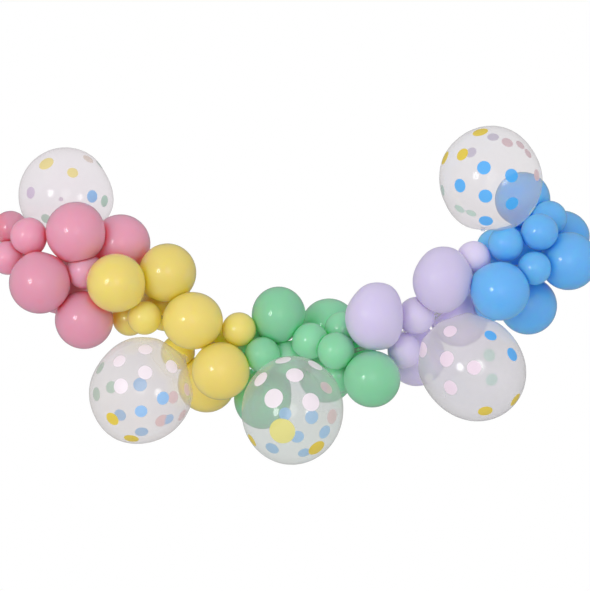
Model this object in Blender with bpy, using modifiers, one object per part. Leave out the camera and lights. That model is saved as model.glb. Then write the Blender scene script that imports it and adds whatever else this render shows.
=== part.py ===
"""A garland of balloons on a plastic strip, hung in a smile-shaped curve between two points.

Metres, +Z up, +X along the garland, +Y away from the viewer. The origin is on the back face of the
strip's left end, where it is fastened. Each balloon is a turned pear shape whose knot points at the
strip. Where two balloons press together, both have a flat between them.
"""

import math
from collections import namedtuple

import bmesh
import bpy
from mathutils import Matrix, Vector

# Driving dimensions
GAP = 0.0003  # between any two pieces that touch
STRIP_WIDTH = 0.014
STRIP_THICKNESS = 0.0012
END_HOLE_RADIUS = 0.004
END_HOLE_INSET = 0.010  # from each tip of the strip to the centre of its hole
LONGEST_NECK = {"large": 1.27, "small": 1.27, "dotted": 1.40}  # from centre to knot's tip, in radii
SHORTEST_NECK = 1.04  # with less room than this, the balloon is left round
SLOPED_NECK = 1.19  # a longer neck than this has a ring between its shoulder and its knot
SHOULDER = math.radians(58)  # from the knot's axis to where the round body gives way to the neck
SWELL_SPREAD = math.radians(50)  # how far from the knot's axis a pear shape's swell reaches
SWELL_LENGTH = 0.3  # how much longer than wide such a body is as well, as a share of the swell
KNOT_RADIUS = {"large": 0.0060, "small": 0.0045, "dotted": 0.0070}
KNOT_HEIGHT = 1.6  # in knot radii
SIDES = {"large": 11, "small": 9, "dotted": 13}
BODY_RINGS = {"large": 5, "small": 4, "dotted": 6}
REACH = 0.050  # balloons whose skins are further apart than this never meet
KNOT_SEARCH = 0.035  # how much further than the nearest point of the strip a knot may look for room
HOLE_SIDES = 16
SAME_PLACE = 0.00002  # corners of a cut that are closer together than this are merged
SMOOTH_BELOW = math.radians(42)

Balloon = namedtuple("Balloon", "x y z radius tall swell", defaults=(1.0, 0.0))

# Centre and radius of each balloon, its height over its width where it isn't round, and its swell
# towards the knot, as a share of its radius, where it is pear-shaped
BALLOONS = {
    ("pink", "large"): [
        Balloon(0.349, -0.048, -0.037, 0.091),
        Balloon(0.474, 0.042, -0.069, 0.089),
        Balloon(0.242, -0.060, -0.188, 0.091),
        Balloon(0.369, -0.015, -0.298, 0.087),
        Balloon(0.283, 0.099, -0.193, 0.088),
    ],
    ("pink", "small"): [
        Balloon(0.140, 0.048, -0.022, 0.053),
        Balloon(0.205, -0.030, -0.047, 0.055),
        Balloon(0.138, 0.006, -0.112, 0.051),
        Balloon(0.372, -0.027, -0.151, 0.055),
    ],
    ("yellow", "large"): [
        Balloon(0.471, -0.090, -0.188, 0.087),
        Balloon(0.619, -0.024, -0.157, 0.086, 1.02),
        Balloon(0.696, -0.060, -0.300, 0.090, 0.95),
        Balloon(0.780, -0.066, -0.449, 0.086),
        Balloon(0.731, 0.090, -0.493, 0.088),
        Balloon(0.609, 0.093, -0.253, 0.081),
    ],
    ("yellow", "small"): [
        Balloon(0.500, 0.042, -0.296, 0.051),
        Balloon(0.552, -0.042, -0.291, 0.051),
        Balloon(0.644, 0.081, -0.398, 0.052),
        Balloon(0.758, 0.051, -0.354, 0.053),
        Balloon(0.833, -0.036, -0.326, 0.051),
    ],
    ("green", "large"): [
        Balloon(0.951, 0.000, -0.284, 0.081, 1.06),
        Balloon(1.104, 0.114, -0.321, 0.087),
        Balloon(1.227, -0.105, -0.471, 0.084),
        Balloon(0.901, 0.102, -0.539, 0.087, 1.07),
        Balloon(1.096, 0.096, -0.469, 0.083),
    ],
    ("green", "small"): [
        Balloon(1.046, -0.042, -0.360, 0.054),
        Balloon(1.121, -0.087, -0.389, 0.055),
        Balloon(1.141, -0.006, -0.325, 0.052),
        Balloon(0.903, -0.042, -0.401, 0.053),
        Balloon(0.977, 0.012, -0.408, 0.057),
        Balloon(1.130, -0.024, -0.467, 0.051),
        Balloon(1.194, 0.072, -0.390, 0.052),
        Balloon(0.873, 0.066, -0.369, 0.053),
    ],
    ("lilac", "large"): [
        Balloon(1.233, -0.102, -0.287, 0.086, 1.16),
        Balloon(1.433, -0.090, -0.179, 0.086, 1.14),
        Balloon(1.369, 0.072, -0.413, 0.087),
        Balloon(1.499, 0.087, -0.293, 0.088),
    ],
    ("lilac", "small"): [
        Balloon(1.361, -0.051, -0.284, 0.055),
        Balloon(1.325, -0.042, -0.389, 0.050, 1.07),
        Balloon(1.531, -0.054, -0.114, 0.051),
    ],
    ("blue", "large"): [
        Balloon(1.605, -0.102, -0.212, 0.087),
        Balloon(1.818, -0.018, -0.122, 0.087),
        Balloon(1.819, 0.126, -0.049, 0.084),
        Balloon(1.693, 0.090, 0.067, 0.084),
        Balloon(1.704, 0.042, -0.256, 0.087),
        Balloon(1.679, 0.141, -0.091, 0.084),
    ],
    ("blue", "small"): [
        Balloon(1.626, -0.066, -0.072, 0.053),
        Balloon(1.725, -0.072, -0.037, 0.055),
        Balloon(1.708, -0.084, -0.144, 0.050),
        Balloon(1.765, 0.015, 0.007, 0.053),
        Balloon(1.602, 0.036, -0.077, 0.053),
        Balloon(1.586, 0.015, -0.257, 0.047),
    ],
    ("clear", "dotted"): [
        Balloon(0.296, 0.141, 0.085, 0.144, 1.0, 0.04),
        Balloon(0.541, -0.054, -0.507, 0.153, 1.03, 0.06),
        Balloon(0.992, -0.126, -0.563, 0.150, 1.055, 0.05),
        Balloon(1.528, -0.102, -0.442, 0.154, 1.0, 0.28),
        Balloon(1.577, -0.114, 0.117, 0.152, 1.03, 0.04),
    ],
}

# The strip's route: straight and flat at each end, and threaded between the balloons in the middle
LEFT_END = [(-0.024, 0.000, 0.0170), (0.018, 0.000, -0.01275), (0.031, 0.000, -0.0220)]
MIDDLE = [
    (0.060, 0.024, -0.043),
    (0.092, 0.052, -0.060),
    (0.130, 0.063, -0.075),
    (0.168, 0.056, -0.087),
    (0.214, 0.048, -0.103),
    (0.266, 0.045, -0.118),
    (0.320, 0.044, -0.135),
    (0.365, 0.046, -0.158),
    (0.411, 0.036, -0.181),
    (0.479, 0.021, -0.214),
    (0.534, 0.012, -0.251),
    (0.600, 0.012, -0.293),
    (0.669, 0.012, -0.329),
    (0.736, 0.002, -0.361),
    (0.805, 0.008, -0.393),
    (0.879, 0.027, -0.408),
    (0.924, 0.042, -0.402),
    (0.973, 0.049, -0.392),
    (1.030, 0.036, -0.390),
    (1.105, 0.018, -0.395),
    (1.156, 0.014, -0.395),
    (1.202, 0.014, -0.384),
    (1.265, 0.018, -0.362),
    (1.331, 0.022, -0.335),
    (1.382, 0.021, -0.313),
    (1.427, 0.015, -0.284),
    (1.475, 0.012, -0.238),
    (1.517, 0.012, -0.198),
    (1.562, 0.012, -0.166),
    (1.617, 0.018, -0.146),
    (1.673, 0.036, -0.139),
    (1.730, 0.062, -0.134),
    (1.783, 0.088, -0.132),
    (1.839, 0.101, -0.129),
    (1.891, 0.080, -0.108),
    (1.936, 0.038, -0.067),
]
RIGHT_END = [(1.966, 0.000, -0.0323), (1.982, 0.000, -0.0171), (2.026, 0.000, 0.0247)]

SKINS = {
    "pink": (0.78, 0.36, 0.46),
    "yellow": (0.93, 0.76, 0.28),
    "green": (0.32, 0.70, 0.42),
    "lilac": (0.65, 0.58, 0.80),
    "blue": (0.17, 0.46, 0.83),
}
Pear = namedtuple("Pear", "name size centre radii swell axis length planes")


def clear_scene():
    """Removes whatever the scene holds."""
    for thing in list(bpy.data.objects):
        bpy.data.objects.remove(thing)


def material(name, colour, roughness, alpha=1.0):
    """A plain Principled material."""
    made = bpy.data.materials.new(name)
    made.use_nodes = True
    shader = made.node_tree.nodes["Principled BSDF"]
    shader.inputs["Base Color"].default_value = (*colour, 1)
    shader.inputs["Roughness"].default_value = roughness
    shader.inputs["Alpha"].default_value = alpha
    made.diffuse_color = (*colour, alpha)
    return made


def smooth_route(points, per_stretch):
    """Points of a smooth curve through the given ones (Catmull-Rom)."""
    route = []
    for i in range(len(points) - 1):
        before, a, b, after = (points[max(0, min(j, len(points) - 1))] for j in range(i - 1, i + 3))
        for step in range(per_stretch):
            t = step / per_stretch
            route.append(
                0.5
                * (
                    2 * a
                    + (b - before) * t
                    + (2 * before - 5 * a + 4 * b - after) * t**2
                    + (3 * (a - b) + after - before) * t**3
                )
            )
    return [*route, points[-1]]


def strip_route(per_stretch):
    """The strip's centre line, with both ends kept straight."""
    left, middle, right = ([Vector(p) for p in part] for part in (LEFT_END, MIDDLE, RIGHT_END))
    inner = smooth_route([left[-1], *middle, right[0]], per_stretch)
    return left[:-1] + inner + right[1:]


def turned_edges(route):
    """Each point of the route with the direction of the strip's width there, in an upright plane."""
    places = []
    for i, point in enumerate(route):
        along = (route[min(i + 1, len(route) - 1)] - route[max(i - 1, 0)]).normalized()
        up = Vector((0, 0, 1))
        places.append((point, (up - along * up.dot(along)).normalized()))
    return places


def add_object(name, mesh, collection, centre=Vector()):
    """An object whose mesh is in world places, with its origin moved to the centre."""
    mesh.transform(Matrix.Translation(-centre))
    thing = bpy.data.objects.new(name, mesh)
    thing.location = centre
    collection.objects.link(thing)
    return thing


def hole_cutter(name, tip, inner, collection):
    """A round cutter through the strip's flat end, set in from its tip."""
    centre = tip + (inner - tip).normalized() * END_HOLE_INSET
    mesh = bpy.data.meshes.new(name)
    shape = bmesh.new()
    bmesh.ops.create_cone(
        shape,
        cap_ends=True,
        segments=HOLE_SIDES,
        radius1=END_HOLE_RADIUS,
        radius2=END_HOLE_RADIUS,
        depth=8 * STRIP_THICKNESS,
    )
    bmesh.ops.rotate(shape, verts=shape.verts, matrix=Matrix.Rotation(math.pi / 2, 3, "X"))
    bmesh.ops.translate(shape, verts=shape.verts, vec=centre)
    shape.to_mesh(mesh)
    shape.free()
    cutter = add_object(name, mesh, collection)
    cutter.hide_render = True
    cutter.display_type = "WIRE"
    return cutter


def build_strip(collection, cutters):
    """The plastic strip: a narrow grid bent along its route, thickened and drilled at both ends."""
    route = strip_route(1)
    places = turned_edges(route)
    shape = bmesh.new()
    bmesh.ops.create_grid(shape, x_segments=len(places) - 1, y_segments=1, size=1)
    shape.verts.ensure_lookup_table()
    for vert in shape.verts:
        index = round((vert.co.x + 1) / 2 * (len(places) - 1))
        point, width = places[index]
        vert.co = point + width * (math.copysign(STRIP_WIDTH / 2, vert.co.y))
    mesh = bpy.data.meshes.new("strip")
    shape.to_mesh(mesh)
    shape.free()
    strip = add_object("strip", mesh, collection)
    thicken = strip.modifiers.new("thickness", "SOLIDIFY")
    thicken.thickness = STRIP_THICKNESS
    thicken.offset = 1
    for side, tip, inner in (("left", *route[:2]), ("right", *route[:-3:-1])):
        drill = strip.modifiers.new(f"{side} hole", "BOOLEAN")
        drill.operation = "DIFFERENCE"
        drill.solver = "EXACT"
        drill.object = hole_cutter(f"{side}_hole_cutter", tip, inner, cutters)
    strip.data.materials.append(material("clear_strip", (0.72, 0.72, 0.70), 0.25, 0.45))
    return strip


def reach_towards(radii, direction):
    """How far a stretched round body's skin is from its centre in a direction."""
    return 1 / math.sqrt(sum((d / r) ** 2 for d, r in zip(direction, radii)))


def contact_planes(index, bodies):
    """Planes that part a balloon from its neighbours, as a direction from its centre and a distance."""
    centre, radii = bodies[index]
    planes = []
    for other, (place, other_radii) in enumerate(bodies):
        apart = place - centre
        distance = apart.length
        if other == index or distance == 0:
            continue
        way = apart / distance
        near, far = reach_towards(radii, way), reach_towards(other_radii, way)
        if distance < near + far + REACH:
            planes.append((way, (distance**2 + near**2 - far**2) / (2 * distance) - GAP / 2))
    return planes


def strip_plane(centre, longest, places):
    """The plane that keeps a balloon off the strip, as a direction from its centre and a distance."""
    nearest = min((point for point, _ in places), key=lambda p: (p - centre).length)
    way = (nearest - centre).normalized()
    reach = max(longest, (nearest - centre).length + STRIP_WIDTH)
    room = min(
        (point + width * side * STRIP_WIDTH / 2 - centre).dot(way)
        for point, width in places
        if (point - centre).length < reach
        for side in (-1, 0, 1)
    )
    return way, room - STRIP_THICKNESS - GAP


def neck_room(axis, planes, knot):
    """How far a neck can run along an axis before its knot meets a plane."""
    room = math.inf
    for way, distance in planes:
        lean = axis.dot(way)
        if lean > 0:
            room = min(room, (distance - knot * math.sqrt(max(0, 1 - lean**2))) / lean)
    return room


def knot_direction(centre, radii, places, planes, knot):
    """The way to the point of the strip that leaves the neck the most room, and that room."""
    best = (0, Vector((0, 0, 1)))
    nearest = min((point - centre).length for point, _ in places)
    for point, _ in places:
        if (point - centre).length < nearest + KNOT_SEARCH:
            axis = (point - centre).normalized()
            room = neck_room(axis, planes, knot) / reach_towards(radii, axis)
            best = max(best, (room, axis), key=lambda found: found[0])
    return best


def plan_pears():
    """Every balloon's shape, worked out from the table and from its neighbours."""
    places = turned_edges(strip_route(4))
    table = [
        (f"{colour}_{size}_{number}", size, balloon)
        for (colour, size), group in BALLOONS.items()
        for number, balloon in enumerate(group, 1)
    ]
    bodies = [
        (Vector((b.x, b.y, b.z)), Vector((b.radius, b.radius, b.radius * b.tall))) for _, _, b in table
    ]
    pears = []
    for index, (name, size, balloon) in enumerate(table):
        centre, radii = bodies[index]
        planes = contact_planes(index, bodies)
        planes.append(strip_plane(centre, radii.z * LONGEST_NECK[size], places))
        room, axis = knot_direction(centre, radii, places, planes, KNOT_RADIUS[size])
        length = min(room, LONGEST_NECK[size])
        pears.append(Pear(name, size, centre, radii, balloon.swell, axis, length, planes))
    return pears


def body_point(swell, angle):
    """A point of a body's outline, at an angle from the knot's axis."""
    more = swell * (math.exp(-((angle / SWELL_SPREAD) ** 2)) + SWELL_LENGTH * (math.cos(angle) ** 2 - 0.5))
    return (1 + more) * math.sin(angle), (1 + more) * math.cos(angle)


def pear_profile(size, swell, length, radius):
    """Half of a balloon's outline in units of its radius, from the knot's tip down to the crown."""
    rings = BODY_RINGS[size]
    if length < SHORTEST_NECK:
        turns = rings + 2
        return [body_point(swell, math.pi * i / turns) for i in range(turns + 1)]
    knot = KNOT_RADIUS[size] / radius
    neck = length - KNOT_HEIGHT * knot
    tip = [(0, length), (knot, length - 0.3 * knot), (0.75 * knot, neck)]
    wide, high = body_point(swell, SHOULDER)
    slope = [(0.52 * wide, 0.5 * (high + neck))] if length > SLOPED_NECK else []
    body = [SHOULDER + (math.pi - SHOULDER) * i / rings for i in range(rings + 1)]
    return tip + slope + [body_point(swell, angle) for angle in body]


def turned_mesh(name, profile, sides, radius):
    """A profile turned round the Z axis by a Screw modifier."""
    outline = bpy.data.meshes.new(name)
    points = [(r * radius, 0, z * radius) for r, z in profile]
    for end in (0, -1):
        points[end] = (0, 0, points[end][2])
    outline.from_pydata(points, [(i, i + 1) for i in range(len(points) - 1)], [])
    lathe = bpy.data.objects.new(name, outline)
    bpy.context.scene.collection.objects.link(lathe)
    turn = lathe.modifiers.new("turn", "SCREW")
    turn.steps = turn.render_steps = sides
    turn.use_merge_vertices = True
    turn.merge_threshold = SAME_PLACE
    evaluated = lathe.evaluated_get(bpy.context.evaluated_depsgraph_get())
    mesh = bpy.data.meshes.new_from_object(evaluated)
    bpy.data.objects.remove(lathe)
    bpy.data.meshes.remove(outline)
    return mesh


def press_flat(shape, centre, planes):
    """Cuts the shape with each plane that it crosses and closes the cut."""
    for way, distance in planes:
        if max((vert.co - centre).dot(way) for vert in shape.verts) <= distance:
            continue
        geometry = [*shape.verts, *shape.edges, *shape.faces]
        bmesh.ops.bisect_plane(
            shape, geom=geometry, plane_co=centre + way * distance, plane_no=way, clear_outer=True
        )
        rims = [edge for edge in shape.edges if edge.is_boundary]
        bmesh.ops.holes_fill(shape, edges=rims)
        bmesh.ops.dissolve_degenerate(shape, dist=SAME_PLACE, edges=shape.edges)


def build_balloon(pear, skin, collection):
    """One balloon: turned, aimed at the strip, stretched, and pressed flat against its neighbours."""
    radius = pear.radii.x
    profile = pear_profile(pear.size, pear.swell, pear.length, radius)
    mesh = turned_mesh(pear.name, profile, SIDES[pear.size], radius)
    aim = pear.axis.to_track_quat("Z", "Y").to_matrix().to_4x4()
    stretch = Matrix.Diagonal((1, 1, pear.radii.z / radius, 1))
    shape = bmesh.new()
    shape.from_mesh(mesh)
    bmesh.ops.transform(shape, matrix=Matrix.Translation(pear.centre) @ stretch @ aim, verts=shape.verts)
    press_flat(shape, pear.centre, pear.planes)
    bmesh.ops.recalc_face_normals(shape, faces=shape.faces)
    shape.to_mesh(mesh)
    shape.free()
    balloon = add_object(pear.name, mesh, collection, pear.centre)
    mesh.materials.clear()
    mesh.materials.append(skin)
    mesh.shade_smooth()
    mesh.set_sharp_from_angle(angle=SMOOTH_BELOW)
    return balloon


def main():
    clear_scene()
    garland = bpy.data.collections.new("balloon_garland")
    cutters = bpy.data.collections.new("cutters")
    for collection in (garland, cutters):
        bpy.context.scene.collection.children.link(collection)
    build_strip(garland, cutters)
    skins = {colour: material(f"{colour}_latex", tint, 0.35) for colour, tint in SKINS.items()}
    skins["clear"] = material("clear_latex", (0.82, 0.81, 0.82), 0.12, 0.35)
    for pear in plan_pears():
        build_balloon(pear, skins[pear.name.split("_")[0]], garland)


main()
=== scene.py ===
"""The looks of the balloon garland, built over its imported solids.

Metres, +Z up, +X along the garland, +Y away from the viewer. The origin is on the back face of the
strip's left end. Each balloon is a turned outline, aimed at the strip, and pressed flat against its
neighbours; the strip is a row of punched links laid along its route.
"""

import math
from collections import namedtuple

import bpy
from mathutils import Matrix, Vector


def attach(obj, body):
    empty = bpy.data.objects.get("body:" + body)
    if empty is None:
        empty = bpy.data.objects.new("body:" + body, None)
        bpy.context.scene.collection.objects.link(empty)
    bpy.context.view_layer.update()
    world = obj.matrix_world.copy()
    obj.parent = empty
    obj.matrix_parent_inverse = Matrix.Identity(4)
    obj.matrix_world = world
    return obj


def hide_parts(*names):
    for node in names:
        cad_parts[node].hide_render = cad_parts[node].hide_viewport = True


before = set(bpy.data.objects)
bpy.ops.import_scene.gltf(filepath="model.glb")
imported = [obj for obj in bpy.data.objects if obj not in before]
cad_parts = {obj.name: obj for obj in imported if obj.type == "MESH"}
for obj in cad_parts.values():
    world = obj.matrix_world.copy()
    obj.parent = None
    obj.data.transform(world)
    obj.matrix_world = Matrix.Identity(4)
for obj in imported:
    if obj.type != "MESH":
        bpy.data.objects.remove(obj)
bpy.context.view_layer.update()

# The sizes of the solids, repeated here
GAP = 0.0003  # between any two pieces that touch
STRIP_WIDTH = 0.014
STRIP_THICKNESS = 0.0012
END_HOLE_RADIUS = 0.004
END_HOLE_INSET = 0.010  # from each tip of the strip to the centre of its hole
LONGEST_NECK = {"large": 1.27, "small": 1.27, "dotted": 1.40}  # from the centre to the knot's tip, in radii
KNOT_RADIUS = {"large": 0.0060, "small": 0.0045, "dotted": 0.0070}
REACH = 0.050  # balloons whose skins are further apart than this never meet
KNOT_SEARCH = 0.035  # how much further than the nearest point of the strip a knot may look for room

# Tall is a balloon's height over its width, and swell is how far it is like a pear
Balloon = namedtuple("Balloon", "x y z radius tall swell", defaults=(1.0, 0.0))
BALLOONS = {  # rows of what a Balloon holds
    ("pink", "large"): [
        (0.349, -0.048, -0.037, 0.091),
        (0.474, 0.042, -0.069, 0.089),
        (0.242, -0.060, -0.188, 0.091),
        (0.369, -0.015, -0.298, 0.087),
        (0.283, 0.099, -0.193, 0.088),
    ],
    ("pink", "small"): [
        (0.140, 0.048, -0.022, 0.053),
        (0.205, -0.030, -0.047, 0.055),
        (0.138, 0.006, -0.112, 0.051),
        (0.372, -0.027, -0.151, 0.055),
    ],
    ("yellow", "large"): [
        (0.471, -0.090, -0.188, 0.087),
        (0.619, -0.024, -0.157, 0.086, 1.02),
        (0.696, -0.060, -0.300, 0.090, 0.95),
        (0.780, -0.066, -0.449, 0.086),
        (0.731, 0.090, -0.493, 0.088),
        (0.609, 0.093, -0.253, 0.081),
    ],
    ("yellow", "small"): [
        (0.500, 0.042, -0.296, 0.051),
        (0.552, -0.042, -0.291, 0.051),
        (0.644, 0.081, -0.398, 0.052),
        (0.758, 0.051, -0.354, 0.053),
        (0.833, -0.036, -0.326, 0.051),
    ],
    ("green", "large"): [
        (0.951, 0.000, -0.284, 0.081, 1.06),
        (1.104, 0.114, -0.321, 0.087),
        (1.227, -0.105, -0.471, 0.084),
        (0.901, 0.102, -0.539, 0.087, 1.07),
        (1.096, 0.096, -0.469, 0.083),
    ],
    ("green", "small"): [
        (1.046, -0.042, -0.360, 0.054),
        (1.121, -0.087, -0.389, 0.055),
        (1.141, -0.006, -0.325, 0.052),
        (0.903, -0.042, -0.401, 0.053),
        (0.977, 0.012, -0.408, 0.057),
        (1.130, -0.024, -0.467, 0.051),
        (1.194, 0.072, -0.390, 0.052),
        (0.873, 0.066, -0.369, 0.053),
    ],
    ("lilac", "large"): [
        (1.233, -0.102, -0.287, 0.086, 1.16),
        (1.433, -0.090, -0.179, 0.086, 1.14),
        (1.369, 0.072, -0.413, 0.087),
        (1.499, 0.087, -0.293, 0.088),
    ],
    ("lilac", "small"): [
        (1.361, -0.051, -0.284, 0.055),
        (1.325, -0.042, -0.389, 0.050, 1.07),
        (1.531, -0.054, -0.114, 0.051),
    ],
    ("blue", "large"): [
        (1.605, -0.102, -0.212, 0.087),
        (1.818, -0.018, -0.122, 0.087),
        (1.819, 0.126, -0.049, 0.084),
        (1.693, 0.090, 0.067, 0.084),
        (1.704, 0.042, -0.256, 0.087),
        (1.679, 0.141, -0.091, 0.084),
    ],
    ("blue", "small"): [
        (1.626, -0.066, -0.072, 0.053),
        (1.725, -0.072, -0.037, 0.055),
        (1.708, -0.084, -0.144, 0.050),
        (1.765, 0.015, 0.007, 0.053),
        (1.602, 0.036, -0.077, 0.053),
        (1.586, 0.015, -0.257, 0.047),
    ],
    ("clear", "dotted"): [
        (0.296, 0.141, 0.085, 0.144, 1.0, 0.04),
        (0.541, -0.054, -0.507, 0.153, 1.03, 0.06),
        (0.992, -0.126, -0.563, 0.150, 1.055, 0.05),
        (1.528, -0.102, -0.442, 0.154, 1.0, 0.28),
        (1.577, -0.114, 0.117, 0.152, 1.03, 0.04),
    ],
}

# Points of the strip's centre line, from left to right
LEFT_END = [(-0.024, 0.000, 0.0170), (0.018, 0.000, -0.01275), (0.031, 0.000, -0.0220)]
MIDDLE = [
    (0.060, 0.024, -0.043), (0.092, 0.052, -0.060), (0.130, 0.063, -0.075), (0.168, 0.056, -0.087),
    (0.214, 0.048, -0.103), (0.266, 0.045, -0.118), (0.320, 0.044, -0.135), (0.365, 0.046, -0.158),
    (0.411, 0.036, -0.181), (0.479, 0.021, -0.214), (0.534, 0.012, -0.251), (0.600, 0.012, -0.293),
    (0.669, 0.012, -0.329), (0.736, 0.002, -0.361), (0.805, 0.008, -0.393), (0.879, 0.027, -0.408),
    (0.924, 0.042, -0.402), (0.973, 0.049, -0.392), (1.030, 0.036, -0.390), (1.105, 0.018, -0.395),
    (1.156, 0.014, -0.395), (1.202, 0.014, -0.384), (1.265, 0.018, -0.362), (1.331, 0.022, -0.335),
    (1.382, 0.021, -0.313), (1.427, 0.015, -0.284), (1.475, 0.012, -0.238), (1.517, 0.012, -0.198),
    (1.562, 0.012, -0.166), (1.617, 0.018, -0.146), (1.673, 0.036, -0.139), (1.730, 0.062, -0.134),
    (1.783, 0.088, -0.132), (1.839, 0.101, -0.129), (1.891, 0.080, -0.108), (1.936, 0.038, -0.067),
]
RIGHT_END = [(1.966, 0.000, -0.0323), (1.982, 0.000, -0.0171), (2.026, 0.000, 0.0247)]

# The looks' own sizes. Outlines are in units of the balloon's radius
AROUND = {"large": 96, "small": 72, "dotted": 168}  # points on each ring
BODY_RINGS = {"large": 44, "small": 34, "dotted": 84}
NECK_RINGS = 14
NECK_LEAVES = (0.42, 0, -0.91)  # the way the neck's outline sets off from the foot of the knot
NECK_FLARE = 0.55  # how far it keeps to that way
SHOULDER = math.radians(48)  # from the knot's axis to where the round body gives way to the neck
SWELL_SPREAD = math.radians(50)  # how far from the knot's axis a pear shape's swell reaches
SWELL_LENGTH = 0.3  # how much longer than wide such a body is as well, as a share of the swell
NUDGE = 0.01  # radians between two points that give an outline's direction
PLEATS = {"large": 17, "small": 13, "dotted": 19}
PLEAT_DEPTH = 0.10
PLEAT_HEIGHTS = (0.86, 1.10)  # above the centre, where pleats begin and where they are full
CREASE_SOFTNESS = {"large": 0.045, "small": 0.06, "dotted": 0.07}  # how round the edge of a flat is
TOUCH_SHARES = (1.15, 0.97)  # how far out a plane is next to the skin, where touch begins and is full
HAIR = 0.0001  # nothing is divided by a shorter distance
# From the mouth of the tail to the foot of the knot, in knot radii from the axis and down from the tip
KNOT_OUTLINE = [
    (0.0, 0.55), (0.34, 0.40), (0.55, 0.10), (0.78, 0.0), (0.90, 0.16), (0.76, 0.34),
    (0.52, 0.46), (0.62, 0.62), (0.94, 0.80), (1.0, 1.05), (0.86, 1.32), (0.66, 1.48),
]
KNOT_STEPS = 2  # points on each stretch of that outline
PLANNED_STEPS, BUILT_STEPS = 4, 8  # and on each stretch of the strip's route, to plan by and to build
LINK_PITCH = 0.026  # about, because a whole number of links fills the strip
LINK_STEPS = 6  # faces along each side of a link
KEYHOLE_RADIUS = 0.0032
KEYHOLE_REACH, KEYHOLE_SLIM, KEYHOLE_TAPER = 0.0036, 0.55, 1.5  # of the keyhole's narrow side
WELD = 0.00005  # points closer than this become one

# Swollen places of the skin, or flat ones where the amount is below 0: a direction from the centre,
# how much it swells, and how wide that is
SWELLS = {
    "lilac_large_1": [
        ((0.62, 0, 0.78), 0.08, 0.10), ((-0.75, 0, 0.66), -0.07, 0.12),
        ((0.70, 0, -0.71), 0.08, 0.10),
    ],
    "lilac_large_2": [
        ((0.62, 0, 0.78), 0.05, 0.12), ((-0.80, 0, 0.60), -0.05, 0.12),
        ((0.99, 0, 0.10), 0.10, 0.10),
    ],
    "blue_large_1": [((-0.90, 0, 0.44), 0.08, 0.08)],
    "lilac_large_3": [((0.50, 0, 0.87), 0.10, 0.08)],
    "green_large_1": [((0.41, 0, -0.91), 0.06, 0.05)],
    "green_small_1": [((-0.90, 0, -0.43), 0.08, 0.08)],
    "green_small_5": [((0.15, 0, 0.99), 0.10, 0.10)],
    "green_large_4": [((0.75, 0, 0.66), 0.12, 0.10)],
    "green_large_5": [((-0.90, 0, 0.43), 0.15, 0.12)],
    "pink_large_1": [((-0.45, 0, -0.89), 0.03, 0.05), ((0.98, 0, 0.17), -0.05, 0.20)],
    "pink_large_3": [((0.69, 0, 0.72), 0.03, 0.05), ((-0.22, 0, 0.97), 0.05, 0.06)],
    "lilac_small_1": [((-0.60, 0, -0.80), 0.06, 0.10)],
    "lilac_small_2": [((-0.60, 0, 0.80), 0.06, 0.10)],
    "pink_small_2": [((0.22, 0, -0.97), 0.10, 0.10), ((0.70, 0, -0.71), 0.06, 0.08)],
    "yellow_large_1": [((0.80, 0, -0.60), 0.05, 0.06)],
    "yellow_small_1": [((-0.90, 0, 0.43), 0.08, 0.08)],
    "yellow_large_2": [((-0.66, 0, -0.75), 0.07, 0.06)],
    "clear_dotted_1": [((0.96, 0, -0.26), 0.04, 0.05), ((0.87, 0, 0.50), -0.04, 0.06)],
    "clear_dotted_2": [
        ((-0.79, 0, 0.62), -0.04, 0.12), ((-0.50, 0, -0.87), 0.03, 0.10),
        ((0.74, 0, 0.67), 0.09, 0.10),
    ],
    "clear_dotted_3": [((-0.28, -0.89, -0.37), 0.05, 0.12)],
    "clear_dotted_4": [((-0.80, 0, 0.60), 0.14, 0.07)],
    "clear_dotted_5": [
        ((0.82, 0, 0.57), -0.04, 0.10), ((-0.91, 0, 0.42), 0.02, 0.06),
        ((-0.85, 0, -0.53), -0.02, 0.04), ((-0.42, 0, -0.91), 0.05, 0.05),
    ],
}

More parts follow.
